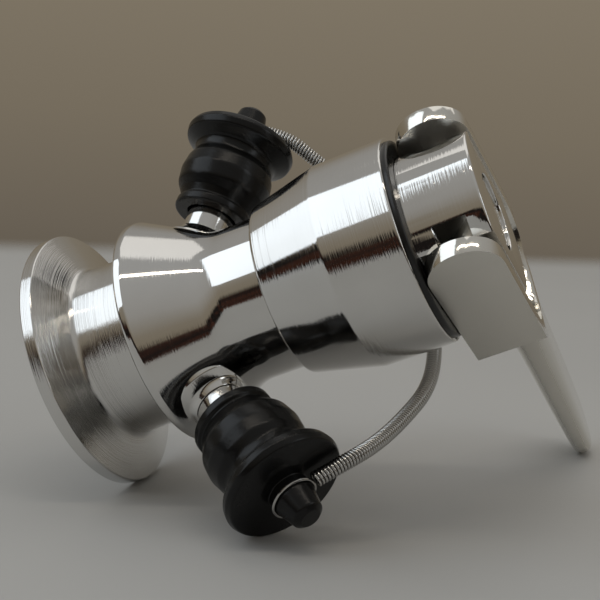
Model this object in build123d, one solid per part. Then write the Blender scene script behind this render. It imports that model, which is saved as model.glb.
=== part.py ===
from build123d import *
import os
from math import cos, pi, radians, sin, sqrt, tan

# Sanitary sampling valve, in millimetres.
# The valve's axis is +X, from the clamp ferrule's sealing face (x = 0) to the pull head.
# The two hose pieces lean towards the head in the XZ plane; the lever's handle points to +Y.

# Clamp ferrule, for a standard 50.5 mm clamp
FLANGE_DIAMETER = 50.5
FLANGE_RIM = 2.45
FLANGE_BACK_ANGLE = 20.0
GASKET_GROOVE_DIAMETER = 43.6
GASKET_GROOVE_RADIUS = 1.6
HUB_RADIUS = 16.7
HUB_LENGTH = 17.5
SEAT_RADIUS = 6.6
SEAT_DEPTH = 1.2

# Body: shoulder, cone and threaded neck round the product chamber
SHOULDER_RADIUS = 22.0
SHOULDER_LAND = 1.6
CONE_ANGLE = 28.0
NECK_RADIUS = 14.9
NECK_FILLET = 6.0
CHAMBER_RADIUS = 9.6
THREAD_RADIUS = 14.1
THREAD_LENGTH = 8.6
BODY_LENGTH = 34.5

# Hose pieces, square to the body's cone, and the blended bosses at their roots
HOSE_RADIUS = 4.75
HOSE_BORE_RADIUS = 3.0
HOSE_FOOT = 14.5
HOSE_END = 38.5
BEAD_RADIUS = 5.05
BEAD_LENGTH = 3.0
BOSS_RADIUS = 7.1
BOSS_HEIGHT = 3.4

# Membrane: sealing nose, bellows and flange, with the gland that clamps the flange
MEMBRANE_TIP = 0.3
MEMBRANE_NOSE = 4.2
MEMBRANE_WALL = 1.4
MEMBRANE_FLANGE = 1.6
MEMBRANE_FLANGE_RADIUS = 12.0
BELLOWS_FOLDS = 4
GLAND_DEPTH = 4.0
GLAND_FLANGE = 1.6
GLAND_FLANGE_RADIUS = 13.8

# Stem and the pull head that it carries
STEM_ROD_RADIUS = 3.2
STEM_GUIDE_RADIUS = 5.0
STEM_TOP_RADIUS = 6.5
STEM_RECESS = 0.4
COLLAR_RADIUS = 9.0
COLLAR_THICKNESS = 1.5
HEAD_RADIUS = 15.5
HEAD_LENGTH = 28.9
HEAD_FLANGE = 1.5
HEAD_FLAT = 11.4
HEAD_MOUTH_RADIUS = 7.3
HEAD_MOUTH_DEPTH = 4.6
GROOVE_FLOOR = 8.2
SNAP_RING_THICKNESS = 1.0
SNAP_GROOVE_RADIUS = 5.7
RETURN_WIRE = 1.6
RETURN_TURNS = 3

# Union nut and the plastic wear ring in its end
NUT_OVERLAP = 0.8
NUT_NOSE_RADIUS = 16.6
NUT_RIM = 0.75
NUT_CONE_LENGTH = 13.4
NUT_LENGTH = 27.2
NUT_LIP = 2.4
SPRING_ROOM = 2.5
RING_WALL = 3.3
RING_SEAT = 1.2
RING_PROUD = 1.0

# Lever: round-ended cheeks that roll on the wear ring, a curved web and a flat handle
SWING = 30.0
PIN_RADIUS = 3.0
PIN_DEPTH = 1.6
CHEEK_RADIUS = 6.7
CHEEK_OFFSET = 7.9
CHEEK_LENGTH = 19.6
CHEEK_OUTSIDE = 16.4
CHEEK_THICKNESS = 3.1
WEB_RADIUS = 19.0
WEB_THICKNESS = 3.4
HANDLE_TIP = 94.0
HANDLE_ROOT = 36.0
HANDLE_ROOT_WIDTH = 12.8
HANDLE_TIP_WIDTH = 8.4
HANDLE_ROOT_THICKNESS = 5.6
HANDLE_TIP_THICKNESS = 3.4
HANDLE_LEAN = 2.6
HANDLE_OFFSET = 0.3
WEB_RUN = 3.0
HANDLE_STEP = 4.0
TOP_FILLET = 8.0
HOLLOW_FILLET = 20.0
UNDER_FILLET = 12.0
CHEEK_FILLET = 3.0

# Rubber caps on the hose pieces, measured along each hose's own axis
CAP_MOUTH = 26.6
CAP_LIP_RADIUS = 7.9
CAP_LIP = 1.6
CAP_NECK_RADIUS = 7.3
BULB_CENTRE = 34.9
BULB_RADIUS = 9.4
WAIST_RADIUS = 8.5
DISC_RADIUS = 11.4
DISC_START = 42.8
DISC_THICKNESS = 3.0
DISC_DOME = 0.7
BUTTON_RADIUS = 3.8
BUTTON_TOP_RADIUS = 2.9
BUTTON_HEIGHT = 7.2

# Closed-coil tether spring round the back of the nut, and its wire loops on the buttons
TETHER_DIAMETER = 3.0
LOOP_WIRE = 0.6
LOOP_HEIGHT = 2.0
TETHER_ROUTE = [
    (47.9, 2.0, -37.6),
    (51.8, 8.0, -32.9),
    (55.6, 15.0, -26.0),
    (60.3, 21.5, -17.5),
    (62.6, 24.6, -7.0),
    (63.0, 25.0, 4.0),
    (61.5, 23.0, 14.5),
    (58.0, 18.5, 23.5),
    (53.8, 11.8, 30.0),
    (49.7, 5.4, 34.2),
    (47.0, 1.6, 37.6),
]

# Clearances
FIT = 0.05
SLIDE = 0.1
CHEEK_GAP = 0.15

# Stations along the valve's axis that follow from the sizes
CONE_START = HUB_LENGTH + SHOULDER_LAND
NECK_END = HUB_LENGTH + BODY_LENGTH
THREAD_START = NECK_END - THREAD_LENGTH
GLAND_START = NECK_END - GLAND_DEPTH
MEMBRANE_SEAT = GLAND_START - MEMBRANE_FLANGE
GLAND_END = NECK_END + GLAND_FLANGE
COLLAR_START = GLAND_END + 3 * SLIDE
HEAD_START = COLLAR_START + COLLAR_THICKNESS
HEAD_END = HEAD_START + HEAD_LENGTH
NUT_START = THREAD_START - NUT_OVERLAP
NUT_END = NUT_START + NUT_LENGTH
NUT_ROOM_END = NUT_END - NUT_LIP
RING_END = NUT_END + RING_PROUD
PIN_X = RING_END + CHEEK_GAP + CHEEK_RADIUS
CHEEK_INSIDE = CHEEK_OUTSIDE - CHEEK_THICKNESS

# Radii round the pull head: the spring's room in the nut, the wear ring and the nut
NUT_ROOM_RADIUS = HEAD_RADIUS + SPRING_ROOM
HEAD_FLANGE_RADIUS = NUT_ROOM_RADIUS - 3 * SLIDE
RING_RADIUS = HEAD_RADIUS + SLIDE + RING_WALL
NUT_RADIUS = RING_RADIUS + FIT + NUT_RIM

# The full swing lifts the head by this much, and the cheeks then reach as far below the ring
HEAD_LIFT = CHEEK_OFFSET * sin(radians(SWING))
FLAT_START = RING_END - HEAD_LIFT

# The hoses' axes leave the middle of the cone square to it and meet the valve's axis here
CONE_SLANT = (SHOULDER_RADIUS - NECK_RADIUS) / sin(radians(CONE_ANGLE))
HOSE_EXIT_X = CONE_START + CONE_SLANT / 2 * cos(radians(CONE_ANGLE))
HOSE_EXIT_RADIUS = (SHOULDER_RADIUS + NECK_RADIUS) / 2
HOSE_MEET_X = HOSE_EXIT_X - HOSE_EXIT_RADIUS * tan(radians(CONE_ANGLE))
CONE_DISTANCE = HOSE_EXIT_RADIUS / cos(radians(CONE_ANGLE))

# Along a hose's axis: where the cap's disc ends and where the tether's loop sits
DISC_END = DISC_START + DISC_THICKNESS
LOOP_STATION = DISC_END + LOOP_HEIGHT
LOOP_RADIUS = BUTTON_RADIUS + FIT + LOOP_WIRE / 2


def turned(outline):
    """Solid of revolution about +X from (station, radius, corner radius) points."""
    points = [(station, radius) for station, radius, _ in outline]
    corners = [corner for _, _, corner in outline]
    section = make_face(FilletPolyline(points, radius=corners, close=True))
    return revolve(section, Axis.X)


def rod(radius, start, end):
    """Plain cylinder on the +X axis between two stations."""
    return Pos((start + end) / 2, 0, 0) * Cylinder(radius, end - start, rotation=(0, 90, 0))


def ring(inner, outer, start, end):
    """Plain ring on the +X axis between two stations."""
    return rod(outer, start, end) - rod(inner, start - 1, end + 1)


def on_hose(shape, side):
    """Place a shape made along +X on the upper (side 1) or lower (side -1) hose's axis."""
    return Pos(HOSE_MEET_X, 0, 0) * Rot(0, -side * (90 - CONE_ANGLE), 0) * shape


def clamp_ferrule():
    back_rise = (FLANGE_DIAMETER / 2 - HUB_RADIUS) * tan(radians(FLANGE_BACK_ANGLE))
    seat_cone = CHAMBER_RADIUS - SEAT_RADIUS
    shell = turned([
        (0, SEAT_RADIUS, 0),
        (0, FLANGE_DIAMETER / 2, 0.3),
        (FLANGE_RIM, FLANGE_DIAMETER / 2, 0.3),
        (FLANGE_RIM + back_rise, HUB_RADIUS, 1.5),
        (HUB_LENGTH, HUB_RADIUS, 0),
        (HUB_LENGTH, CHAMBER_RADIUS, 0),
        (SEAT_DEPTH + seat_cone, CHAMBER_RADIUS, 0),
        (SEAT_DEPTH, SEAT_RADIUS, 0),
    ])
    groove = Torus(GASKET_GROOVE_DIAMETER / 2, GASKET_GROOVE_RADIUS)
    return shell - Rot(0, 90, 0) * groove


def valve_body():
    cone_end = CONE_START + CONE_SLANT * cos(radians(CONE_ANGLE))
    gland_bore = MEMBRANE_FLANGE_RADIUS + FIT
    shell = turned([
        (HUB_LENGTH, 0, 0),
        (HUB_LENGTH, SHOULDER_RADIUS, 0.6),
        (CONE_START, SHOULDER_RADIUS, 0.8),
        (cone_end, NECK_RADIUS, NECK_FILLET),
        (THREAD_START, NECK_RADIUS, 0),
        (THREAD_START, THREAD_RADIUS, 0),
        (NECK_END, THREAD_RADIUS, 0.4),
        (NECK_END, 0, 0),
    ])
    boss = turned([
        (CONE_DISTANCE - BOSS_HEIGHT, 0, 0),
        (CONE_DISTANCE - BOSS_HEIGHT, BOSS_RADIUS, 0),
        (CONE_DISTANCE + 0.3, BOSS_RADIUS, 0.2),
        (CONE_DISTANCE + 0.3 * BOSS_HEIGHT, HOSE_RADIUS + 0.7, 1.2),
        (CONE_DISTANCE + BOSS_HEIGHT, HOSE_RADIUS + 0.3, 0),
        (CONE_DISTANCE + BOSS_HEIGHT, 0, 0),
    ])
    for side in (1, -1):
        shell += on_hose(boss, side)
    for side in (1, -1):
        shell -= on_hose(rod(HOSE_RADIUS, HOSE_FOOT, HOSE_END), side)
        shell -= on_hose(rod(HOSE_BORE_RADIUS, 0, HOSE_END), side)
    shell -= rod(CHAMBER_RADIUS, HUB_LENGTH, NECK_END)
    return shell - rod(gland_bore, MEMBRANE_SEAT, NECK_END)


def hose_piece(side):
    tube = turned([
        (HOSE_FOOT, HOSE_BORE_RADIUS, 0),
        (HOSE_FOOT, HOSE_RADIUS, 0),
        (HOSE_END - BEAD_LENGTH - 1, HOSE_RADIUS, 0),
        (HOSE_END - BEAD_LENGTH, BEAD_RADIUS, 0),
        (HOSE_END, HOSE_RADIUS - 0.3, 0),
        (HOSE_END, HOSE_BORE_RADIUS, 0),
    ])
    return on_hose(tube, side)


def membrane():
    """Rubber nose and bellows on the stem's rod, with a flange under the gland."""
    bore = STEM_ROD_RADIUS + FIT
    nose_radius = SEAT_RADIUS - SLIDE
    nose_end = MEMBRANE_TIP + MEMBRANE_NOSE
    crest = CHAMBER_RADIUS - 2.0
    root = bore + MEMBRANE_WALL
    pitch = (MEMBRANE_SEAT - nose_end) / (BELLOWS_FOLDS + 1)
    outline = [
        (MEMBRANE_TIP, 0, 0),
        (MEMBRANE_TIP, nose_radius - 0.8, 0.5),
        (SEAT_DEPTH, nose_radius, 0),
        (SEAT_DEPTH + crest - nose_radius, crest, 0.3),
        (nose_end, root, 0.8),
    ]
    for fold in range(1, BELLOWS_FOLDS + 1):
        middle = nose_end + fold * pitch
        outline.append((middle - pitch / 4, crest, 1.2))
        outline.append((middle + pitch / 4, root, 1.2))
    outline += [
        (MEMBRANE_SEAT, root, 0),
        (MEMBRANE_SEAT, MEMBRANE_FLANGE_RADIUS, 0),
        (GLAND_START, MEMBRANE_FLANGE_RADIUS, 0),
        (GLAND_START, bore, 0),
        (MEMBRANE_TIP + MEMBRANE_NOSE / 2, bore, 0),
        (MEMBRANE_TIP + MEMBRANE_NOSE / 2, 0, 0),
    ]
    return turned(outline)


def membrane_gland():
    """Screwed ring in the neck that clamps the membrane's flange and guides the stem."""
    bore = STEM_GUIDE_RADIUS + FIT
    return turned([
        (GLAND_START, bore, 0),
        (GLAND_START, MEMBRANE_FLANGE_RADIUS, 0),
        (NECK_END, MEMBRANE_FLANGE_RADIUS, 0),
        (NECK_END, GLAND_FLANGE_RADIUS, 0),
        (GLAND_END, GLAND_FLANGE_RADIUS, 0.3),
        (GLAND_END, bore, 0),
    ])


def stem():
    rod_start = MEMBRANE_TIP + MEMBRANE_NOSE / 2 + FIT
    top = HEAD_END - STEM_RECESS
    groove_start = HEAD_END - HEAD_MOUTH_DEPTH
    groove = ring(SNAP_GROOVE_RADIUS, HEAD_RADIUS, groove_start, groove_start + SNAP_RING_THICKNESS + SLIDE)
    solid = turned([
        (rod_start, 0, 0),
        (rod_start, STEM_ROD_RADIUS, 0.3),
        (GLAND_START, STEM_ROD_RADIUS, 0),
        (GLAND_START, STEM_GUIDE_RADIUS, 0),
        (COLLAR_START, STEM_GUIDE_RADIUS, 0),
        (COLLAR_START, COLLAR_RADIUS, 0),
        (HEAD_START, COLLAR_RADIUS, 0),
        (HEAD_START, STEM_TOP_RADIUS, 0),
        (top, STEM_TOP_RADIUS, 0.6),
        (top, 0, 0),
    ])
    return solid - groove


def snap_ring():
    """Ring in the stem's groove that holds the pull head on the stem."""
    start = HEAD_END - HEAD_MOUTH_DEPTH
    whole = ring(SNAP_GROOVE_RADIUS + FIT, HEAD_MOUTH_RADIUS - SLIDE, start, start + SNAP_RING_THICKNESS)
    gap = Pos(start, 0, HEAD_MOUTH_RADIUS) * Box(4 * SNAP_RING_THICKNESS, 2.0, 2 * HEAD_MOUTH_RADIUS)
    return whole - gap


def pull_head():
    """Sliding head with two flats and a groove across each for the lever's pins."""
    bore = STEM_TOP_RADIUS + FIT
    head = turned([
        (HEAD_START, bore, 0),
        (HEAD_START, HEAD_FLANGE_RADIUS, 0),
        (HEAD_START + HEAD_FLANGE, HEAD_FLANGE_RADIUS, 0),
        (HEAD_START + HEAD_FLANGE, HEAD_RADIUS, 0),
        (HEAD_END, HEAD_RADIUS, 0.5),
        (HEAD_END, HEAD_MOUTH_RADIUS, 0.3),
        (HEAD_END - HEAD_MOUTH_DEPTH, HEAD_MOUTH_RADIUS, 0),
        (HEAD_END - HEAD_MOUTH_DEPTH, bore, 0),
    ])
    flat_length = HEAD_END - FLAT_START
    flat = Box(flat_length, 2 * HEAD_RADIUS, HEAD_RADIUS)
    groove_width = 2 * (PIN_RADIUS + SLIDE)
    for side in (1, -1):
        flat_middle = side * (HEAD_FLAT + HEAD_RADIUS / 2)
        head -= Pos(FLAT_START + flat_length / 2, 0, flat_middle) * flat
        groove_middle = side * (GROOVE_FLOOR + HEAD_RADIUS / 2)
        head -= Pos(PIN_X, 0, groove_middle) * Box(groove_width, 2 * HEAD_RADIUS, HEAD_RADIUS)
    return head


def spring_washer():
    start = NUT_ROOM_END - COLLAR_THICKNESS / 2
    return ring(HEAD_RADIUS + SLIDE, NUT_ROOM_RADIUS - SLIDE, start, NUT_ROOM_END)


def return_spring():
    """Compression spring between the pull head's flange and the washer under the nut's lip."""
    wire = RETURN_WIRE / 2
    start = HEAD_START + HEAD_FLANGE + wire + FIT
    end = NUT_ROOM_END - COLLAR_THICKNESS / 2 - wire - FIT
    coil_radius = (HEAD_RADIUS + NUT_ROOM_RADIUS) / 2
    coil = Helix((end - start) / RETURN_TURNS, end - start, coil_radius)
    section = Plane(coil @ 0, z_dir=coil % 0) * Circle(wire)
    return Pos(start, 0, 0) * Rot(0, 90, 0) * sweep(section, path=coil)


def union_nut():
    return turned([
        (NUT_START, NECK_RADIUS + SLIDE, 0),
        (NUT_START, NUT_NOSE_RADIUS, 0.7),
        (NUT_START + NUT_CONE_LENGTH, NUT_RADIUS, 3.0),
        (NUT_END, NUT_RADIUS, 0.6),
        (NUT_END, RING_RADIUS + FIT, 0),
        (NUT_END - RING_SEAT, RING_RADIUS + FIT, 0),
        (NUT_END - RING_SEAT, HEAD_RADIUS + SLIDE, 0),
        (NUT_ROOM_END, HEAD_RADIUS + SLIDE, 0),
        (NUT_ROOM_END, NUT_ROOM_RADIUS, 0),
        (GLAND_END, NUT_ROOM_RADIUS, 0),
        (NECK_END, THREAD_RADIUS + FIT, 0),
        (THREAD_START + SLIDE, THREAD_RADIUS + FIT, 0),
        (THREAD_START + SLIDE, NECK_RADIUS + SLIDE, 0),
    ])


def wear_ring():
    return turned([
        (NUT_END - RING_SEAT, HEAD_RADIUS + SLIDE, 0),
        (NUT_END - RING_SEAT, RING_RADIUS, 0),
        (RING_END, RING_RADIUS, 0.4),
        (RING_END, HEAD_RADIUS + SLIDE, 0.2),
    ])


def lever_side():
    """The lever seen along its pins: round cheek end, cheeks, web and leaning handle."""
    left = PIN_X - CHEEK_RADIUS
    right = PIN_X + CHEEK_RADIUS
    root_middle = PIN_X + HANDLE_OFFSET
    tip_middle = root_middle - HANDLE_LEAN
    half_root = HANDLE_ROOT_THICKNESS / 2
    half_tip = HANDLE_TIP_THICKNESS / 2
    tip_fillet = 0.45 * HANDLE_TIP_THICKNESS
    outline = FilletPolyline(
        (right, -CHEEK_OFFSET),
        (right, CHEEK_LENGTH + WEB_RUN),
        (root_middle + half_root, HANDLE_ROOT),
        (tip_middle + half_tip, HANDLE_TIP),
        (tip_middle - half_tip, HANDLE_TIP),
        (root_middle - half_root, HANDLE_ROOT - HANDLE_STEP),
        (left, CHEEK_LENGTH),
        (left, -CHEEK_OFFSET),
        radius=[TOP_FILLET, HOLLOW_FILLET, tip_fillet, tip_fillet, UNDER_FILLET, CHEEK_FILLET],
    )
    lowest = (PIN_X, -CHEEK_OFFSET - CHEEK_RADIUS)
    round_end = ThreePointArc((left, -CHEEK_OFFSET), lowest, (right, -CHEEK_OFFSET))
    return make_face(outline.edges() + round_end.edges())


def lever_front():
    """The lever seen along the valve's axis, with the head's room between the cheeks."""
    web_middle = CHEEK_LENGTH - sqrt(WEB_RADIUS ** 2 - CHEEK_OUTSIDE ** 2)
    inner_radius = WEB_RADIUS - WEB_THICKNESS
    below = CHEEK_OFFSET + 2 * CHEEK_RADIUS
    cheeks = Pos((CHEEK_LENGTH - below) / 2, 0) * Rectangle(CHEEK_LENGTH + below, 2 * CHEEK_OUTSIDE)
    outer_band = Pos(web_middle, 0) * Rectangle(4 * WEB_RADIUS, 2 * CHEEK_OUTSIDE)
    outer = Pos(web_middle, 0) * Circle(WEB_RADIUS) & outer_band
    inner_band = Pos(web_middle, 0) * Rectangle(4 * WEB_RADIUS, 2 * CHEEK_INSIDE)
    inner = Pos(web_middle, 0) * Circle(inner_radius) & inner_band
    room_end = web_middle + sqrt(inner_radius ** 2 - CHEEK_INSIDE ** 2)
    room = Pos((room_end - 2 * below) / 2, 0) * Rectangle(room_end + 2 * below, 2 * CHEEK_INSIDE)
    handle = make_face(FilletPolyline(
        (web_middle + inner_radius, HANDLE_ROOT_WIDTH / 2),
        (HANDLE_TIP, HANDLE_TIP_WIDTH / 2),
        (HANDLE_TIP, -HANDLE_TIP_WIDTH / 2),
        (web_middle + inner_radius, -HANDLE_ROOT_WIDTH / 2),
        radius=[0, 0.45 * HANDLE_TIP_WIDTH, 0.45 * HANDLE_TIP_WIDTH, 0],
        close=True,
    ))
    return cheeks + outer + handle - inner - room


def lever():
    side = extrude(lever_side(), 2 * CHEEK_OUTSIDE, both=True)
    front = extrude(Plane.YZ * lever_front(), 2 * PIN_X)
    body = side & front
    for end in (1, -1):
        hole_middle = end * (CHEEK_INSIDE - FIT)
        body -= Pos(PIN_X, 0, hole_middle) * Cylinder(PIN_RADIUS + FIT / 2, 2 * PIN_DEPTH)
    return body


def lever_pin(side):
    """Stub pin set blind into a cheek's inner face, reaching into the head's groove."""
    start = GROOVE_FLOOR + 2 * SLIDE
    end = CHEEK_INSIDE + PIN_DEPTH - 2 * FIT
    return Pos(PIN_X, 0, side * (start + end) / 2) * Cylinder(PIN_RADIUS, end - start)


def cap(side):
    """Bulb cap with a flared disc and a button for the tether's loop."""
    bore = BEAD_RADIUS + SLIDE
    bulb_drop = sqrt(BULB_RADIUS ** 2 - CAP_NECK_RADIUS ** 2)
    waist_rise = sqrt(BULB_RADIUS ** 2 - WAIST_RADIUS ** 2)
    button_end = DISC_END + BUTTON_HEIGHT
    lower = Polyline(
        (HOSE_END + 1, 0),
        (HOSE_END + 1, bore),
        (CAP_MOUTH, bore),
        (CAP_MOUTH, CAP_LIP_RADIUS),
        (CAP_MOUTH + CAP_LIP, CAP_LIP_RADIUS),
        (CAP_MOUTH + CAP_LIP, CAP_NECK_RADIUS),
        (BULB_CENTRE - bulb_drop, CAP_NECK_RADIUS),
    )
    bulb = ThreePointArc(lower @ 1, (BULB_CENTRE, BULB_RADIUS), (BULB_CENTRE + waist_rise, WAIST_RADIUS))
    flare = Polyline(bulb @ 1, (DISC_START - 1.6, WAIST_RADIUS), (DISC_START, DISC_RADIUS))
    rim = ThreePointArc(flare @ 1, (DISC_START + DISC_THICKNESS / 2, DISC_RADIUS + 0.2),
                        (DISC_END - DISC_DOME, DISC_RADIUS - 0.5))
    upper = Polyline(
        rim @ 1,
        (DISC_END, BUTTON_RADIUS + 2),
        (DISC_END, BUTTON_RADIUS),
        (LOOP_STATION + LOOP_WIRE, BUTTON_RADIUS),
        (button_end - 0.8, BUTTON_TOP_RADIUS),
        (button_end, BUTTON_TOP_RADIUS - 1),
        (button_end, 0),
        (HOSE_END + 1, 0),
    )
    pieces = [lower, bulb, flare, rim, upper]
    section = make_face([edge for piece in pieces for edge in piece.edges()])
    return on_hose(revolve(section, Axis.X), side)


def tether_loop(side):
    loop = Rot(0, 90, 0) * Torus(LOOP_RADIUS, LOOP_WIRE / 2)
    return on_hose(Pos(LOOP_STATION, 0, 0) * loop, side)


def tether_spring():
    """The tether's outer shape: straight runs joined by tangent arcs, loop to loop."""
    reach = LOOP_RADIUS + LOOP_WIRE / 2 + 2 * SLIDE
    ends = []
    for side in (-1, 1):
        along = LOOP_STATION
        across_x = cos(radians(CONE_ANGLE))
        across_z = -side * sin(radians(CONE_ANGLE))
        hose_x = HOSE_MEET_X + along * sin(radians(CONE_ANGLE))
        hose_z = side * along * cos(radians(CONE_ANGLE))
        ends.append((hose_x + reach * across_x, 0, hose_z + reach * across_z))
    points = [Vector(*point) for point in [ends[0]] + TETHER_ROUTE + [ends[1]]]
    radii = []
    for before, corner, after in zip(points, points[1:], points[2:]):
        shorter = min((corner - before).length, (after - corner).length)
        turn = radians((corner - before).get_angle(after - corner))
        radii.append(0.45 * shorter / tan(turn / 2))
    path = FilletPolyline(points, radius=radii)
    section = Plane(path @ 0, z_dir=path % 0) * Circle(TETHER_DIAMETER / 2)
    tube = sweep(section, path=path)
    plain_volume = pi * (TETHER_DIAMETER / 2) ** 2 * path.length
    print("tether length", round(path.length, 1), "radii", [round(radius, 1) for radius in radii])
    print("tether volume over section times length", round(tube.volume / plain_volume, 4))
    return tube


parts = {
    "clamp_ferrule": clamp_ferrule(),
    "valve_body": valve_body(),
    "membrane": membrane(),
    "membrane_gland": membrane_gland(),
    "stem": stem(),
    "snap_ring": snap_ring(),
    "pull_head": pull_head(),
    "spring_washer": spring_washer(),
    "return_spring": return_spring(),
    "union_nut": union_nut(),
    "wear_ring": wear_ring(),
    "lever": lever(),
    "tether_spring": tether_spring(),
}
for name, side in (("upper", 1), ("lower", -1)):
    parts[name + "_hose_piece"] = hose_piece(side)
    parts[name + "_lever_pin"] = lever_pin(side)
    parts[name + "_cap"] = cap(side)
    parts[name + "_tether_loop"] = tether_loop(side)

os.makedirs("parts", exist_ok=True)
for name, shape in parts.items():
    export_step(shape, "parts/" + name + ".step")
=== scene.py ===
import bmesh
import bpy
from math import cos, pi, radians, sin, sqrt, tan
from mathutils import Matrix, Vector


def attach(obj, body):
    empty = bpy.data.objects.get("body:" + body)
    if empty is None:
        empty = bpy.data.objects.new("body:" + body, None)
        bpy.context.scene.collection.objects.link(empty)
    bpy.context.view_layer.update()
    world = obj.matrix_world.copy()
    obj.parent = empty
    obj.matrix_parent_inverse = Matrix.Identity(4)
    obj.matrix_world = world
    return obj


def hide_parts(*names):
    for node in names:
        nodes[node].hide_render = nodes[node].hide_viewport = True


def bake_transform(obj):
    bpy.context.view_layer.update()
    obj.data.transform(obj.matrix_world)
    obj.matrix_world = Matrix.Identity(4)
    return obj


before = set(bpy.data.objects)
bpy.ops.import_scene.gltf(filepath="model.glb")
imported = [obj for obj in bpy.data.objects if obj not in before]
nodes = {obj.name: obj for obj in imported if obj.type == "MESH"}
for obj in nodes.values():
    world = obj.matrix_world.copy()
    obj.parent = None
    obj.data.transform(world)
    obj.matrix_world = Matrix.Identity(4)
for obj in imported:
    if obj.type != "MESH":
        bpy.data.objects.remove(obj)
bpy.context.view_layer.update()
mm = 0.001

# ---- Viewpoint and room ----------------------------------------------------------------
# The valve lies on a table on its ferrule's rim, its lower cap and its handle's tip, so the
# table is tilted in the valve's own frame. The lens looks slightly down on it from the front.
table_up = Vector((0.42635, -0.55699, 0.71273)).normalized()
table_height = -22.68 * mm
eye = Vector((107.5, -175.4, -132.4)) * mm
look_back = Vector((0.277, -0.774, -0.569)).normalized()
look_right = Vector((0.903, 0.413, -0.122))
look_right = (look_right - look_back * look_right.dot(look_back)).normalized()
look_up = look_back.cross(look_right)

camera_data = bpy.data.cameras.new("camera")
camera_data.sensor_width = 36
camera_data.lens = 72.94
camera_data.clip_start = 0.01
camera = bpy.data.objects.new("camera", camera_data)
look_axes = Matrix((look_right, look_up, look_back)).transposed().to_4x4()
camera.matrix_world = Matrix.Translation(eye) @ look_axes
bpy.context.scene.collection.objects.link(camera)
bpy.context.scene.camera = camera
bpy.context.scene.view_settings.view_transform = "Standard"


def new_material(name):
    """A new node material, its nodes, its links and its Principled shader."""
    material = bpy.data.materials.new(name)
    material.use_nodes = True
    tree = material.node_tree
    return material, tree.nodes, tree.links, tree.nodes["Principled BSDF"]


# Matt grey table top, seen from above only, so that it doesn't hide the valve from below.
# Its far edge melts into the wall behind it, which stands well out of focus.
table_edge = 0.42
table_blur = 0.045
table_yaw = 0.385
table_material, table_nodes, table_links, table_shader = new_material("table_top")
table_shader.inputs["Roughness"].default_value = 0.55
table_clear = table_nodes.new("ShaderNodeBsdfTransparent")
table_side = table_nodes.new("ShaderNodeNewGeometry")
table_place = table_nodes.new("ShaderNodeTexCoord")
table_split = table_nodes.new("ShaderNodeSeparateXYZ")
table_run = table_nodes.new("ShaderNodeMath")
table_run.operation = "MULTIPLY_ADD"
table_run.inputs[1].default_value = -table_yaw
table_fade = table_nodes.new("ShaderNodeMapRange")
table_fade.interpolation_type = "SMOOTHSTEP"
table_fade.inputs["From Min"].default_value = table_edge - table_blur
table_fade.inputs["From Max"].default_value = table_edge + table_blur
table_hidden = table_nodes.new("ShaderNodeMath")
table_hidden.operation = "MAXIMUM"
table_mix = table_nodes.new("ShaderNodeMixShader")
table_grain = table_nodes.new("ShaderNodeTexNoise")
table_grain.inputs["Scale"].default_value = 9
table_grain.inputs["Detail"].default_value = 3
table_tone = table_nodes.new("ShaderNodeMix")
table_tone.data_type = "RGBA"
table_tone.inputs["A"].default_value = (0.46, 0.46, 0.455, 1)
table_tone.inputs["B"].default_value = (0.50, 0.50, 0.49, 1)
table_links.new(table_place.outputs["Object"], table_split.inputs[0])
table_links.new(table_place.outputs["Object"], table_grain.inputs["Vector"])
table_links.new(table_grain.outputs["Fac"], table_tone.inputs["Factor"])
table_links.new(table_tone.outputs["Result"], table_shader.inputs["Base Color"])
table_links.new(table_split.outputs["X"], table_run.inputs[0])
table_links.new(table_split.outputs["Y"], table_run.inputs[2])
table_links.new(table_run.outputs[0], table_fade.inputs["Value"])
table_links.new(table_fade.outputs["Result"], table_hidden.inputs[0])
table_links.new(table_side.outputs["Backfacing"], table_hidden.inputs[1])
table_links.new(table_hidden.outputs[0], table_mix.inputs["Fac"])
table_links.new(table_shader.outputs["BSDF"], table_mix.inputs[1])
table_links.new(table_clear.outputs["BSDF"], table_mix.inputs[2])
table_links.new(table_mix.outputs["Shader"], table_nodes["Material Output"].inputs["Surface"])
table_away = (-look_back - table_up * -look_back.dot(table_up)).normalized()
table_axes = Matrix((table_away.cross(table_up), table_away, table_up)).transposed().to_4x4()
table_mesh = bpy.data.meshes.new("table")
table_half, table_near, table_far = 1.2, -0.5, 1.1
table_corners = [
    (-table_half, table_near, 0), (table_half, table_near, 0),
    (table_half, table_far, 0), (-table_half, table_far, 0),
]
table_mesh.from_pydata(table_corners, [], [(0, 1, 2, 3)])
table_mesh.materials.append(table_material)
table = bpy.data.objects.new("table", table_mesh)
table.matrix_world = Matrix.Translation(table_up * table_height) @ table_axes
bpy.context.scene.collection.objects.link(table)

# The room is a beige wall that darkens towards the table, with dark furniture at the height
# of the table on the near side, which the polished steel mirrors.
world = bpy.data.worlds.new("room")
bpy.context.scene.world = world
world.use_nodes = True
world_nodes = world.node_tree.nodes
world_links = world.node_tree.links
direction = world_nodes.new("ShaderNodeTexCoord")


def towards_share(axis, low, high):
    """How far a direction of the room points along an axis, as a share from 0 to 1."""
    height = world_nodes.new("ShaderNodeVectorMath")
    height.operation = "DOT_PRODUCT"
    height.inputs[1].default_value = axis
    share = world_nodes.new("ShaderNodeMapRange")
    share.inputs["From Min"].default_value = low
    share.inputs["From Max"].default_value = high
    world_links.new(direction.outputs["Generated"], height.inputs[0])
    world_links.new(height.outputs["Value"], share.inputs["Value"])
    return share


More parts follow.
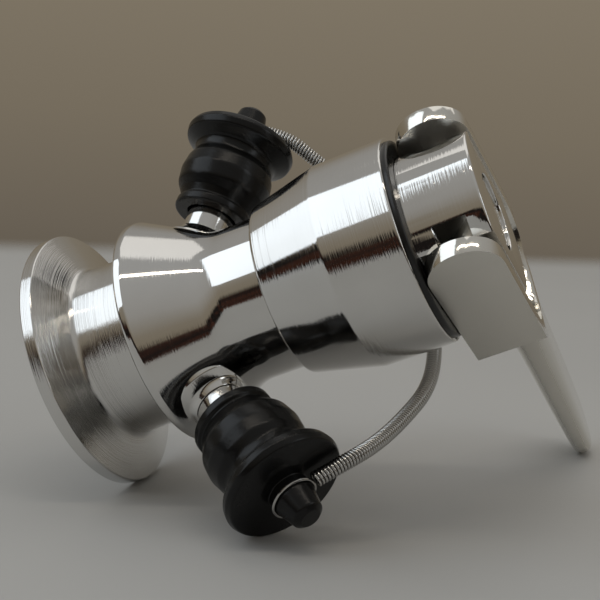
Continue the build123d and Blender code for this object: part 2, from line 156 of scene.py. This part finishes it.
height_share = towards_share(table_up, -1, 1)
wall = world_nodes.new("ShaderNodeValToRGB")
wall.color_ramp.elements[0].position = 0.40
wall.color_ramp.elements[0].color = (0.20, 0.195, 0.185, 1)
wall.color_ramp.elements[1].position = 1.0
wall.color_ramp.elements[1].color = (0.40, 0.40, 0.39, 1)
wall_tones = (
    (0.43, (0.115, 0.097, 0.073, 1)), (0.455, (0.140, 0.118, 0.090, 1)),
    (0.50, (0.178, 0.150, 0.110, 1)), (0.56, (0.212, 0.180, 0.132, 1)),
    (0.66, (0.24, 0.21, 0.165, 1)), (0.8, (0.34, 0.33, 0.31, 1)),
)
for stop, tint in wall_tones:
    wall.color_ramp.elements.new(stop).color = tint
furniture_near = towards_share(look_back, 0.05, 0.3)
furniture_height = world_nodes.new("ShaderNodeValToRGB")
furniture_height.color_ramp.elements[0].position = 0.42
furniture_height.color_ramp.elements[0].color = (0, 0, 0, 1)
furniture_height.color_ramp.elements[1].position = 0.60
furniture_height.color_ramp.elements[1].color = (0, 0, 0, 1)
for stop, value in ((0.44, 1), (0.575, 1)):
    furniture_height.color_ramp.elements.new(stop).color = (value, value, value, 1)
furniture_ragged = world_nodes.new("ShaderNodeTexNoise")
furniture_ragged.inputs["Scale"].default_value = 5
furniture_ragged.inputs["Detail"].default_value = 6
furniture_shift = world_nodes.new("ShaderNodeMath")
furniture_shift.operation = "MULTIPLY_ADD"
furniture_shift.inputs[1].default_value = 0.10
furniture_level = world_nodes.new("ShaderNodeMath")
furniture_level.operation = "SUBTRACT"
furniture_level.inputs[1].default_value = 0.05
furniture_mask = world_nodes.new("ShaderNodeMath")
furniture_mask.operation = "MULTIPLY"
furniture_wood = world_nodes.new("ShaderNodeValToRGB")
furniture_wood.color_ramp.elements[0].position = 0.52
furniture_wood.color_ramp.elements[0].color = (0.012, 0.010, 0.009, 1)
furniture_wood.color_ramp.elements[1].position = 0.60
furniture_wood.color_ramp.elements[1].color = (0.050, 0.021, 0.014, 1)
room_mix = world_nodes.new("ShaderNodeMix")
room_mix.data_type = "RGBA"
world_links.new(height_share.outputs["Result"], wall.inputs["Fac"])
world_links.new(direction.outputs["Generated"], furniture_ragged.inputs["Vector"])
world_links.new(furniture_ragged.outputs["Fac"], furniture_shift.inputs[0])
world_links.new(height_share.outputs["Result"], furniture_shift.inputs[2])
world_links.new(furniture_shift.outputs[0], furniture_level.inputs[0])
world_links.new(furniture_level.outputs[0], furniture_height.inputs["Fac"])
world_links.new(furniture_height.outputs["Color"], furniture_mask.inputs[0])
world_links.new(furniture_near.outputs["Result"], furniture_mask.inputs[1])
world_links.new(furniture_ragged.outputs["Fac"], furniture_wood.inputs["Fac"])
world_links.new(furniture_mask.outputs[0], room_mix.inputs["Factor"])
world_links.new(wall.outputs["Color"], room_mix.inputs["A"])
world_links.new(furniture_wood.outputs["Color"], room_mix.inputs["B"])
world_links.new(room_mix.outputs["Result"], world_nodes["Background"].inputs["Color"])


def soft_light(name, side, rise, depth, distance, size, power, tint):
    """A soft rectangular lamp, placed by its direction from the valve as the lens sees it."""
    middle = Vector((45, 5, 0)) * mm
    towards = (look_right * side + look_up * rise + look_back * depth).normalized()
    data = bpy.data.lights.new(name, "AREA")
    data.shape = "RECTANGLE"
    data.size, data.size_y = size
    data.energy = power
    data.color = tint
    lamp = bpy.data.objects.new(name, data)
    lamp.location = middle + towards * distance
    lamp.rotation_euler = towards.to_track_quat("Z", "Y").to_euler()
    bpy.context.scene.collection.objects.link(lamp)


soft_light("window", -0.75, 0.62, 0.25, 1.0, (0.75, 0.9), 2.7, (0.82, 0.91, 1.0))
soft_light("lamp_strip", 0.05, 1.0, 0.40, 1.0, (0.9, 0.04), 1.1, (1.0, 0.91, 0.78))
soft_light("ceiling", 0.15, 1.0, -0.35, 1.2, (1.1, 0.8), 1.5, (1.0, 0.97, 0.93))
soft_light("right_window", 0.95, 0.45, 0.5, 1.3, (0.3, 0.7), 1.0, (0.88, 0.94, 1.0))

# ---- Clamp ferrule ---------------------------------------------------------------------
# Polished stainless flange for a 50.5 mm clamp, with a gasket groove in its face and a hub.
# It is turned from bar, so its coned back and its hub keep coarse rings from the tool.
steel_tint = (0.74, 0.73, 0.71)


def new_group(name, inputs, outputs):
    """An empty shader group with float inputs and named outputs."""
    group = bpy.data.node_groups.new(name, "ShaderNodeTree")
    for label, value in inputs:
        socket = group.interface.new_socket(label, in_out="INPUT", socket_type="NodeSocketFloat")
        socket.default_value = value
    for label, kind in outputs:
        group.interface.new_socket(label, in_out="OUTPUT", socket_type=kind)
    return group, group.nodes.new("NodeGroupInput"), group.nodes.new("NodeGroupOutput")


def turning_marks():
    """Fine rings round the valve's axis, as a height and as a mask of the duller ones."""
    group, given, result = new_group(
        "turning_marks",
        [("Rings per metre", 2500.0), ("Waver", 0.1)],
        [("Height", "NodeSocketFloat"), ("Dull", "NodeSocketFloat")],
    )
    place = group.nodes.new("ShaderNodeTexCoord")
    split = group.nodes.new("ShaderNodeSeparateXYZ")
    flat = group.nodes.new("ShaderNodeCombineXYZ")
    radius = group.nodes.new("ShaderNodeVectorMath")
    radius.operation = "LENGTH"
    along = group.nodes.new("ShaderNodeMath")
    along.operation = "SUBTRACT"
    scaled = group.nodes.new("ShaderNodeMath")
    scaled.operation = "MULTIPLY"
    cloud = group.nodes.new("ShaderNodeTexNoise")
    cloud.inputs["Scale"].default_value = 60
    drift = group.nodes.new("ShaderNodeMath")
    drift.operation = "MULTIPLY_ADD"
    rings = group.nodes.new("ShaderNodeTexNoise")
    rings.noise_dimensions = "1D"
    rings.inputs["Scale"].default_value = 1
    rings.inputs["Detail"].default_value = 4
    dull = group.nodes.new("ShaderNodeMapRange")
    dull.inputs["From Min"].default_value = 0.52
    dull.inputs["From Max"].default_value = 0.75
    wire = group.links.new
    wire(place.outputs["Object"], split.inputs[0])
    wire(split.outputs["Y"], flat.inputs["Y"])
    wire(split.outputs["Z"], flat.inputs["Z"])
    wire(flat.outputs[0], radius.inputs[0])
    wire(split.outputs["X"], along.inputs[0])
    wire(radius.outputs["Value"], along.inputs[1])
    wire(along.outputs[0], scaled.inputs[0])
    wire(given.outputs["Rings per metre"], scaled.inputs[1])
    wire(place.outputs["Object"], cloud.inputs["Vector"])
    wire(cloud.outputs["Fac"], drift.inputs[0])
    wire(given.outputs["Waver"], drift.inputs[1])
    wire(scaled.outputs[0], drift.inputs[2])
    wire(drift.outputs[0], rings.inputs["W"])
    wire(rings.outputs["Fac"], dull.inputs["Value"])
    wire(rings.outputs["Fac"], result.inputs["Height"])
    wire(dull.outputs["Result"], result.inputs["Dull"])
    return group


marks_group = turning_marks()


def polished_steel(name, tint, gloss, dulled, ring_density, ring_depth):
    """Bright stainless steel with faint rings; the ringed places are a little duller."""
    smeared = 0.86
    material, kit, links, shader = new_material(name)
    shader.inputs["Metallic"].default_value = 1
    marks = kit.new("ShaderNodeGroup")
    marks.node_tree = marks_group
    marks.inputs["Rings per metre"].default_value = ring_density
    smear = kit.new("ShaderNodeTexNoise")
    smear.inputs["Scale"].default_value = 90
    smear.inputs["Detail"].default_value = 5
    place = kit.new("ShaderNodeTexCoord")
    dullness = kit.new("ShaderNodeMath")
    dullness.operation = "MULTIPLY"
    rough = kit.new("ShaderNodeMapRange")
    rough.inputs["To Min"].default_value = gloss
    rough.inputs["To Max"].default_value = dulled
    colour = kit.new("ShaderNodeMix")
    colour.data_type = "RGBA"
    colour.inputs["A"].default_value = (*tint, 1)
    colour.inputs["B"].default_value = (*[smeared * part for part in tint], 1)
    bump = kit.new("ShaderNodeBump")
    bump.inputs["Strength"].default_value = 0.35
    bump.inputs["Distance"].default_value = ring_depth
    links.new(place.outputs["Object"], smear.inputs["Vector"])
    links.new(marks.outputs["Dull"], dullness.inputs[0])
    links.new(smear.outputs["Fac"], dullness.inputs[1])
    links.new(dullness.outputs[0], rough.inputs["Value"])
    links.new(rough.outputs["Result"], shader.inputs["Roughness"])
    links.new(smear.outputs["Fac"], colour.inputs["Factor"])
    links.new(colour.outputs["Result"], shader.inputs["Base Color"])
    links.new(marks.outputs["Height"], bump.inputs["Height"])
    links.new(bump.outputs["Normal"], shader.inputs["Normal"])
    return material


def rounded(outline):
    """Outline points (station, radius, corner radius in mm) with each corner made an arc."""
    steps = 7
    side_share = 0.48
    points = []
    count = len(outline)
    for index, (station, radius, corner) in enumerate(outline):
        here = Vector((station, radius))
        if corner == 0:
            points.append(here)
            continue
        before = Vector(outline[index - 1][:2]) - here
        after = Vector(outline[(index + 1) % count][:2]) - here
        half = before.angle(after) / 2
        setback = min(corner / tan(half), side_share * before.length, side_share * after.length)
        start = here + before.normalized() * setback
        end = here + after.normalized() * setback
        for step in range(steps + 1):
            share = step / steps
            points.append(start.lerp(here, share).lerp(here.lerp(end, share), share))
    return points


def link_piece(name, mesh, body):
    """A new object from a mesh, riding on a body."""
    piece = bpy.data.objects.new(name, mesh)
    bpy.context.scene.collection.objects.link(piece)
    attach(piece, body)
    return piece


def turned(name, outline, body, material, axis=None, segments=180):
    """A lathe-turned piece from a closed outline in mm; axis places the +X axis elsewhere."""
    mesh = bpy.data.meshes.new(name)
    shell = bmesh.new()
    turns = [2 * pi * step / segments for step in range(segments)]
    rows = []
    for point in rounded(outline):
        station, radius = point * mm
        if radius < 1e-7:  # a point on the axis
            rows.append([shell.verts.new((station, 0, 0))])
            continue
        places = [(station, radius * cos(turn), radius * sin(turn)) for turn in turns]
        rows.append([shell.verts.new(place) for place in places])
    for first, second in zip(rows, rows[1:] + rows[:1]):
        if len(first) == 1 and len(second) == 1:
            continue
        for step in range(segments):
            following = (step + 1) % segments
            if len(first) == 1:
                shell.faces.new((first[0], second[following], second[step]))
            elif len(second) == 1:
                shell.faces.new((first[step], first[following], second[0]))
            else:
                shell.faces.new((first[step], first[following], second[following], second[step]))
    bmesh.ops.recalc_face_normals(shell, faces=shell.faces)
    shell.to_mesh(mesh)
    shell.free()
    if axis is not None:
        mesh.transform(axis)
    mesh.materials.append(material)
    mesh.shade_smooth()
    mesh.set_sharp_from_angle(angle=radians(24))
    piece = link_piece(name, mesh, body)
    weights = piece.modifiers.new("even_normals", "WEIGHTED_NORMAL")
    weights.keep_sharp = True
    return piece


turned_steel = polished_steel("turned_steel", steel_tint, 0.05, 0.22, 4600, 0.00013)
flange_radius = 25.25
rim_width = 2.45
hub_radius = 16.7
hub_length = 17.5
inlet_radius = 6.6
chamber_radius = 9.6
ferrule_outline = [
    (0, inlet_radius, 0.2), (0, 20.2, 0), (1.1, 20.9, 0.8), (1.5, 21.8, 0.8), (1.1, 22.7, 0.8),
    (0, 23.4, 0), (0, flange_radius, 0.35), (rim_width, flange_radius, 0.35),
    (5.56, hub_radius + 0.1, 1.6), (hub_length - 1.2, hub_radius, 0.5),
    (hub_length, hub_radius + 1.1, 0), (hub_length, chamber_radius, 0),
    (4.2, chamber_radius, 0), (1.2, inlet_radius, 0),
]
ferrule = turned("ferrule", ferrule_outline, "valve", turned_steel)
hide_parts("clamp_ferrule")

# ---- Valve body ------------------------------------------------------------------------
# Mirror-polished stainless body, turned: a flat shoulder, a cone that carries the hoses and
# a slim neck with the nut's thread on its end. The ferrule is welded to its shoulder.
# A blended boss stands square on the cone round each hose piece.
mirror_steel = polished_steel("mirror_steel", steel_tint, 0.045, 0.16, 2600, 0.00003)
cone_angle = radians(28)
shoulder_radius = 22.0
neck_radius = 14.9
thread_start = 43.4
thread_radius = 14.1
gland_start = 46.4
gland_radius = 12.05
body_end = 52.0
body_outline = [
    (hub_length, chamber_radius, 0), (hub_length, shoulder_radius, 0.7),
    (19.1, shoulder_radius, 1.1), (32.45, neck_radius, 9.0), (thread_start, neck_radius, 0),
    (thread_start, thread_radius, 0), (body_end, thread_radius, 0.4), (body_end, gland_radius, 0),
    (gland_start, gland_radius, 0), (gland_start, chamber_radius, 0),
]
body = turned("body", body_outline, "valve", mirror_steel)
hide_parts("valve_body")

# Each hose's own axis leaves the valve's axis at hose_meet, square to the cone.
hose_meet = 15.968 * mm
hose_segments = 96
boss_base = 20.9
boss_bore = 4.7
hose_axes = {}
for name, side in (("upper", 1), ("lower", -1)):
    lean = Matrix.Rotation(-side * (pi / 2 - cone_angle), 4, "Y")
    hose_axes[name] = Matrix.Translation((hose_meet, 0, 0)) @ lean
    boss_outline = [
        (boss_base - 2.4, boss_bore, 0), (boss_base - 2.4, 8.4, 0), (boss_base - 0.9, 7.6, 0.6),
        (boss_base + 0.3, 5.5, 1.6), (boss_base + 1.5, 5.0, 0.5), (boss_base + 1.6, boss_bore, 0),
    ]
    turned(
        name + "_hose_boss", boss_outline, "valve", mirror_steel,
        hose_axes[name], hose_segments,
    )

# ---- Hose pieces -----------------------------------------------------------------------
# Drawn and polished 9.5 mm stainless tube, set into the boss, with a bead at its open end.
# Most of each one is under its rubber cap.
hose_radius = 4.75
hose_bore = 3.0
hose_start = 14.5
hose_end = 38.5
bead_radius = 5.05
hose_outline = [
    (hose_start, hose_bore, 0), (hose_start, hose_radius, 0), (34.5, hose_radius, 0),
    (35.5, bead_radius, 0.4), (hose_end, hose_radius - 0.3, 0.3), (hose_end, hose_bore, 0.2),
]
for name, axis in hose_axes.items():
    hose = turned(
        name + "_hose", hose_outline, "valve", mirror_steel, axis, hose_segments,
    )
    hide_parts(name + "_hose_piece")

# ---- Union nut -------------------------------------------------------------------------
# Smooth stainless hand nut: a rounded nose, a cone and a cylinder, turned and polished.
# It draws the head's parts onto the neck and holds the wear ring in its end.
nut_steel = polished_steel("nut_steel", steel_tint, 0.05, 0.20, 3400, 0.00005)
nut_start = 42.6
nut_end = 69.8
nut_radius = 19.7
nut_segments = 220
nut_nose = 15.0
nut_thread = 14.15
nut_thread_start = 43.5
spring_room = 18.0
spring_room_end = 67.4
head_room = 15.6
ring_room = 18.95
ring_seat = nut_end - 1.2
nut_outline = [
    (nut_start, nut_nose, 0), (nut_start, 16.6, 1.0), (56.0, nut_radius, 1.2),
    (nut_end, nut_radius, 0.9), (nut_end, ring_room, 0), (ring_seat, ring_room, 0),
    (ring_seat, head_room, 0), (spring_room_end, head_room, 0), (spring_room_end, spring_room, 0),
    (53.6, spring_room, 0), (body_end, nut_thread, 0), (nut_thread_start, nut_thread, 0),
    (nut_thread_start, nut_nose, 0),
]
nut = turned("nut", nut_outline, "valve", nut_steel, segments=nut_segments)
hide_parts("union_nut")

# ---- Wear ring -------------------------------------------------------------------------
# Glossy black plastic ring, moulded and pressed into a seat in the nut's end. It stands 1 mm
# proud of the nut, and the lever's cheeks roll on it.
plastic, plastic_nodes, plastic_links, plastic_shader = new_material("black_plastic")
plastic_shader.inputs["Base Color"].default_value = (0.006, 0.006, 0.006, 1)
plastic_scuff = plastic_nodes.new("ShaderNodeTexNoise")
plastic_scuff.inputs["Scale"].default_value = 420
plastic_scuff.inputs["Detail"].default_value = 6
plastic_rough = plastic_nodes.new("ShaderNodeMapRange")
plastic_rough.inputs["To Min"].default_value = 0.18
plastic_rough.inputs["To Max"].default_value = 0.42
plastic_place = plastic_nodes.new("ShaderNodeTexCoord")
plastic_links.new(plastic_place.outputs["Object"], plastic_scuff.inputs["Vector"])
plastic_links.new(plastic_scuff.outputs["Fac"], plastic_rough.inputs["Value"])
plastic_links.new(plastic_rough.outputs["Result"], plastic_shader.inputs["Roughness"])
ring_start = 68.6
ring_end = 70.8
ring_radius = 18.9
ring_outline = [
    (ring_start, head_room, 0), (ring_start, ring_radius, 0),
    (ring_end, ring_radius, 0.45), (ring_end, head_room, 0.25),
]
wear = turned(
    "wear_ring_moulded", ring_outline, "valve", plastic, segments=nut_segments,
)
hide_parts("wear_ring")

# ---- Pull head, stem and lever pins ----------------------------------------------------
# Polished stainless cylinder with two milled flats and a pin groove across each; the stem's
# end shows in its mouth. These pieces keep the engineering model's shapes, and a bevel
# breaks their edges.
weld_distance = 0.002 * mm
broken_edge = 0.15


def soften(node, width, material):
    """Give an engineering node a material, a small edge bevel and smooth shading."""
    piece = nodes[node]
    piece.data.materials.clear()
    piece.data.materials.append(material)
    weld = piece.modifiers.new("weld", "WELD")
    weld.merge_threshold = weld_distance
    bevel = piece.modifiers.new("broken_edges", "BEVEL")
    bevel.width = width * mm
    bevel.segments = 3
    bevel.limit_method = "ANGLE"
    bevel.angle_limit = radians(30)
    bevel.harden_normals = True
    piece.data.shade_smooth()


softened_nodes = (
    "pull_head", "stem", "snap_ring", "upper_lever_pin", "lower_lever_pin", "membrane_gland",
)
for node in softened_nodes:
    soften(node, broken_edge, mirror_steel)

# ---- Hidden springs and membrane -------------------------------------------------------
# In the nut, a coiled return spring of drawn wire and its washer press the head shut. In the
# body, a moulded rubber membrane seals the stem. They are seen only when the valve is taken
# apart.
wire_steel = polished_steel("wire_steel", (0.55, 0.54, 0.52), 0.16, 0.30, 4000, 0.00002)
nodes["spring_washer"].data.materials.clear()
nodes["spring_washer"].data.materials.append(wire_steel)


def squeezed(name, node, material):
    """A piece shaped like an engineering node, with a material of its own, in the node's place.
    """
    mesh = nodes[node].data.copy()
    mesh.transform(nodes[node].matrix_world)
    mesh.materials.clear()
    mesh.materials.append(material)
    mesh.shade_smooth()
    mesh.set_sharp_from_angle(angle=radians(30))
    piece = bpy.data.objects.new(name, mesh)
    bpy.context.scene.collection.objects.link(piece)
    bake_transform(piece)
    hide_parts(node)


squeezed(
    "coiled_return_spring", "return_spring", wire_steel,
)


def rubber(name, shade, gloss, dulled):
    """Moulded rubber with fine pores, faint dust and uneven gloss."""
    dusty = 3.0
    material, kit, links, shader = new_material(name)
    place = kit.new("ShaderNodeTexCoord")
    cloud = kit.new("ShaderNodeTexNoise")
    cloud.inputs["Scale"].default_value = 130
    cloud.inputs["Detail"].default_value = 8
    tone = kit.new("ShaderNodeValToRGB")
    tone.color_ramp.elements[0].position = 0.35
    tone.color_ramp.elements[0].color = (*[shade] * 3, 1)
    tone.color_ramp.elements[1].position = 0.85
    tone.color_ramp.elements[1].color = (*[dusty * shade] * 3, 1)
    shader.inputs["Specular IOR Level"].default_value = 0.25
    rough = kit.new("ShaderNodeMapRange")
    rough.inputs["To Min"].default_value = gloss
    rough.inputs["To Max"].default_value = dulled
    pores = kit.new("ShaderNodeTexNoise")
    pores.inputs["Scale"].default_value = 1500
    bump = kit.new("ShaderNodeBump")
    bump.inputs["Strength"].default_value = 0.25
    bump.inputs["Distance"].default_value = 0.0001
    links.new(place.outputs["Object"], cloud.inputs["Vector"])
    links.new(place.outputs["Object"], pores.inputs["Vector"])
    links.new(cloud.outputs["Fac"], tone.inputs["Fac"])
    links.new(tone.outputs["Color"], shader.inputs["Base Color"])
    links.new(cloud.outputs["Fac"], rough.inputs["Value"])
    links.new(rough.outputs["Result"], shader.inputs["Roughness"])
    links.new(pores.outputs["Fac"], bump.inputs["Height"])
    links.new(bump.outputs["Normal"], shader.inputs["Normal"])
    return material


membrane_rubber = rubber("membrane_rubber", 0.02, 0.45, 0.7)
squeezed(
    "membrane_bellows", "membrane", membrane_rubber,
)

# ---- Lever -----------------------------------------------------------------------------
# One stainless forging: two cheeks, a curved web round the head and a flat handle. Its broad
# faces are satin and its edges are polished bright and rounded.
lever_steel, lever_nodes, lever_links, lever_shader = new_material("lever_steel")
lever_shader.inputs["Metallic"].default_value = 1
lever_shader.inputs["Base Color"].default_value = (0.72, 0.70, 0.65, 1)
lever_place = lever_nodes.new("ShaderNodeTexCoord")
lever_normal = lever_nodes.new("ShaderNodeSeparateXYZ")
lever_side = lever_nodes.new("ShaderNodeMath")
lever_side.operation = "ABSOLUTE"
lever_satin = lever_nodes.new("ShaderNodeMapRange")
lever_satin.inputs["From Min"].default_value = 0.90
lever_satin.inputs["From Max"].default_value = 0.985
lever_satin.inputs["To Min"].default_value = 0.10
lever_satin.inputs["To Max"].default_value = 0.40
lever_grit = lever_nodes.new("ShaderNodeTexNoise")
lever_grit.inputs["Scale"].default_value = 2600
lever_bump = lever_nodes.new("ShaderNodeBump")
lever_bump.inputs["Strength"].default_value = 0.12
lever_bump.inputs["Distance"].default_value = 0.00005
lever_links.new(lever_place.outputs["Normal"], lever_normal.inputs[0])
lever_links.new(lever_normal.outputs["Z"], lever_side.inputs[0])
lever_links.new(lever_side.outputs[0], lever_satin.inputs["Value"])
lever_links.new(lever_satin.outputs["Result"], lever_shader.inputs["Roughness"])
lever_links.new(lever_place.outputs["Object"], lever_grit.inputs["Vector"])
lever_links.new(lever_grit.outputs["Fac"], lever_bump.inputs["Height"])
lever_links.new(lever_bump.outputs["Normal"], lever_shader.inputs["Normal"])
# The fork is the engineering model's lever up to fork_end, where the handle takes over.
fork_end = 28.6 * mm
fork_mesh = nodes["lever"].data.copy()
fork_mesh.transform(nodes["lever"].matrix_world)
fork_shell = bmesh.new()
fork_shell.from_mesh(fork_mesh)
bmesh.ops.remove_doubles(fork_shell, verts=fork_shell.verts, dist=weld_distance)
fork_parts = fork_shell.verts[:] + fork_shell.edges[:] + fork_shell.faces[:]
fork_cut = bmesh.ops.bisect_plane(
    fork_shell, geom=fork_parts, plane_co=(0, fork_end, 0), plane_no=(0, 1, 0), clear_outer=True,
)
fork_rim = [part for part in fork_cut["geom_cut"] if isinstance(part, bmesh.types.BMEdge)]
bmesh.ops.contextual_create(fork_shell, geom=fork_rim)
bmesh.ops.recalc_face_normals(fork_shell, faces=fork_shell.faces)
fork_shell.to_mesh(fork_mesh)
fork_shell.free()
fork_mesh.materials.clear()
fork_mesh.materials.append(lever_steel)
fork_mesh.shade_smooth()
fork = link_piece("lever_fork", fork_mesh, "lever")
fork_bevel = fork.modifiers.new("rounded_edges", "BEVEL")
fork_bevel.width = 0.8 * mm
fork_bevel.segments = 4
fork_bevel.limit_method = "ANGLE"
fork_bevel.angle_limit = radians(35)
fork_bevel.harden_normals = True
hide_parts("lever")

# The handle is a blade about 20 mm wide with rounded edges and a round tip, which thickens
# where it runs into the web.
# Each row of it is a station along y, then the middle, width and thickness there, in mm.
blade_stations = [
    (24.5, 79.4, 21.5, 9.6), (27.0, 79.5, 21.0, 9.0), (29.5, 79.5, 20.6, 7.8),
    (33.0, 79.4, 20.3, 7.0), (40.0, 79.1, 20.1, 6.6), (55.0, 78.5, 19.8, 6.2),
    (70.0, 77.9, 19.3, 5.7), (82.5, 77.4, 18.7, 5.1),
]
tip_start = 83.4
tip_length = 9.8
tip_middle = 77.4
tip_width = 18.6
tip_thickness = 5.0
tip_steps = 12
for step in range(1, tip_steps):
    rise = sin(step / tip_steps * pi / 2)
    flank = cos(step / tip_steps * pi / 2)
    middle = tip_middle - 0.4 * rise
    thickness = tip_thickness * (0.4 + 0.6 * sqrt(flank))
    blade_stations.append((tip_start + tip_length * rise, middle, tip_width * flank, thickness))

# Powers under 1 turn the blade's oval section into a slab with rounded edges.
blade_sides = 48
width_power = 0.45
thickness_power = 0.6
blade_shell = bmesh.new()
blade_rows = []
for station, middle, width, thickness in blade_stations:
    row = []
    for step in range(blade_sides):
        turn = 2 * pi * step / blade_sides
        across = abs(sin(turn)) ** width_power * (1 if sin(turn) >= 0 else -1)
        through = abs(cos(turn)) ** thickness_power * (1 if cos(turn) >= 0 else -1)
        place = Vector((middle + thickness / 2 * through, station, width / 2 * across)) * mm
        row.append(blade_shell.verts.new(place))
    blade_rows.append(row)
for first, second in zip(blade_rows, blade_rows[1:]):
    for step in range(blade_sides):
        following = (step + 1) % blade_sides
        blade_shell.faces.new((first[step], first[following], second[following], second[step]))
blade_shell.faces.new(blade_rows[0])
blade_shell.faces.new(blade_rows[-1])
bmesh.ops.recalc_face_normals(blade_shell, faces=blade_shell.faces)
blade_mesh = bpy.data.meshes.new("lever_handle")
blade_shell.to_mesh(blade_mesh)
blade_shell.free()
blade_mesh.materials.append(lever_steel)
blade_mesh.shade_smooth()
blade = link_piece("lever_handle", blade_mesh, "lever")
blade_smooth = blade.modifiers.new("smooth_form", "SUBSURF")
blade_smooth.levels = 2
blade_smooth.render_levels = 2

# ---- Rubber caps -----------------------------------------------------------------------
# Moulded black rubber: a lipped mouth, a round bulb, a waist, a flared disc and a button.
# They push over the hoses' beads and are pulled off along the hoses.
cap_rubber = rubber("cap_rubber", 0.0028, 0.16, 0.34)
cap_segments = 128
cap_mouth = 26.6
cap_floor = 39.5
cap_bore = 5.15
lip_radius = 7.9
disc_end = 45.8
button_radius = 3.8
button_end = 53.0
cap_outline = [
    (cap_floor, 0, 0), (cap_floor, cap_bore, 0), (cap_mouth, cap_bore, 0.3),
    (cap_mouth, lip_radius, 0.5), (28.2, lip_radius, 0.5), (28.7, 7.3, 0.5), (30.2, 8.0, 2.0),
    (32.0, 9.15, 2.5), (34.9, 9.55, 3.0), (37.6, 9.15, 2.5), (39.3, 8.4, 2.0), (41.1, 8.5, 1.6),
    (42.8, 11.2, 0.9), (44.2, 11.5, 0.8), (45.4, 11.0, 0.6), (disc_end, 5.8, 3.0),
    (disc_end, button_radius, 0.3), (48.4, button_radius, 1.0), (52.2, 2.9, 0.7),
    (button_end, 1.9, 0.5), (button_end, 0, 0),
]
for name, axis in hose_axes.items():
    cap = turned(
        name + "_cap_moulded", cap_outline, name + "_cap", cap_rubber,
        axis, cap_segments,
    )
    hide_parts(name + "_cap")

# ---- Tether loops ----------------------------------------------------------------------
# A loop of drawn stainless wire round each cap's button, close to the disc. It is pushed over
# the button and holds one end of the tether spring.
loop_segments = 64
loop_station = 47.8
loop_radius = 4.15
loop_wire = 0.3
loop_sides = 14
loop_outline = []
for step in range(loop_sides):
    turn = 2 * pi * step / loop_sides
    station = loop_station + loop_wire * cos(turn)
    loop_outline.append((station, loop_radius + loop_wire * sin(turn), 0))
for name, axis in hose_axes.items():
    loop = turned(
        name + "_wire_loop", loop_outline, name + "_cap", wire_steel,
        axis, loop_segments,
    )
    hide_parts(name + "_tether_loop")

# ---- Tether spring ---------------------------------------------------------------------
# One closed coil of drawn stainless wire, 3 mm outside, from the lower cap's loop round the
# back of the nut to the upper cap's loop.
tether_radius = 1.5 * mm
tether_wire = 0.29 * mm
tether_pitch = 0.64 * mm
tether_route = [
    (42.557, 0, -40.077), (47.9, 2.0, -37.6), (51.8, 8.0, -32.9), (55.6, 15.0, -26.0),
    (60.3, 21.5, -17.5), (62.6, 24.6, -7.0), (63.0, 25.0, 4.0), (61.5, 23.0, 14.5),
    (58.0, 18.5, 23.5), (53.8, 11.8, 30.0), (49.7, 5.4, 34.2), (47.0, 1.6, 37.6),
    (42.557, 0, 40.077),
]


def route_points(route):
    """Close points along the smooth NURBS spline through a route given in mm."""
    curve = bpy.data.curves.new("tether_route", "CURVE")
    curve.dimensions = "3D"
    spline = curve.splines.new("NURBS")
    spline.points.add(len(route) - 1)
    for point, place in zip(spline.points, route):
        point.co = (*[part * mm for part in place], 1)
    spline.order_u = 3
    spline.use_endpoint_u = True
    spline.resolution_u = 24
    holder = bpy.data.objects.new("tether_route", curve)
    mesh = bpy.data.meshes.new_from_object(holder)
    points = [vertex.co.copy() for vertex in mesh.vertices]
    bpy.data.objects.remove(holder)
    bpy.data.curves.remove(curve)
    bpy.data.meshes.remove(mesh)
    return points


def coil_mesh(name, path, steps_per_turn=14, sides=7):
    """A wire wound closely round a path, as one tube that is closed at both ends."""
    lengths = [0.0]
    for before, after in zip(path, path[1:]):
        lengths.append(lengths[-1] + (after - before).length)
    total = int(lengths[-1] / tether_pitch * steps_per_turn)
    coil = []
    side = (path[1] - path[0]).orthogonal().normalized()
    index = 0
    for step in range(total + 1):
        distance = lengths[-1] * step / total
        while index < len(path) - 2 and lengths[index + 1] < distance:
            index += 1
        share = (distance - lengths[index]) / (lengths[index + 1] - lengths[index])
        middle = path[index].lerp(path[index + 1], share)
        ahead = (path[index + 1] - path[index]).normalized()
        side = (side - ahead * side.dot(ahead)).normalized()
        across = ahead.cross(side)
        turn = 2 * pi * step / steps_per_turn
        outward = side * cos(turn) + across * sin(turn)
        coil.append((middle + outward * (tether_radius - tether_wire), outward, ahead))
    shell = bmesh.new()
    turns = [2 * pi * corner / sides for corner in range(sides)]
    rows = []
    for centre, outward, ahead in coil:
        offsets = [(outward * cos(turn) + ahead * sin(turn)) * tether_wire for turn in turns]
        rows.append([shell.verts.new(centre + offset) for offset in offsets])
    for first, second in zip(rows, rows[1:]):
        for corner in range(sides):
            following = (corner + 1) % sides
            shell.faces.new((first[corner], first[following], second[following], second[corner]))
    shell.faces.new(rows[0])
    shell.faces.new(rows[-1])
    bmesh.ops.recalc_face_normals(shell, faces=shell.faces)
    mesh = bpy.data.meshes.new(name)
    shell.to_mesh(mesh)
    shell.free()
    mesh.shade_smooth()
    return mesh


# The coil is made as two halves that meet in the middle of its route.
tether_path = route_points(tether_route)
middle_index = len(tether_path) // 2
halves = {"lower": tether_path[:middle_index + 1], "upper": tether_path[:middle_index - 1:-1]}
for name, path in halves.items():
    mesh = coil_mesh(name + "_tether_half", path)
    mesh.materials.append(wire_steel)
    half = bpy.data.objects.new(name + "_tether_half", mesh)
    bpy.context.scene.collection.objects.link(half)
    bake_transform(half)
    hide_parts("tether_spring")
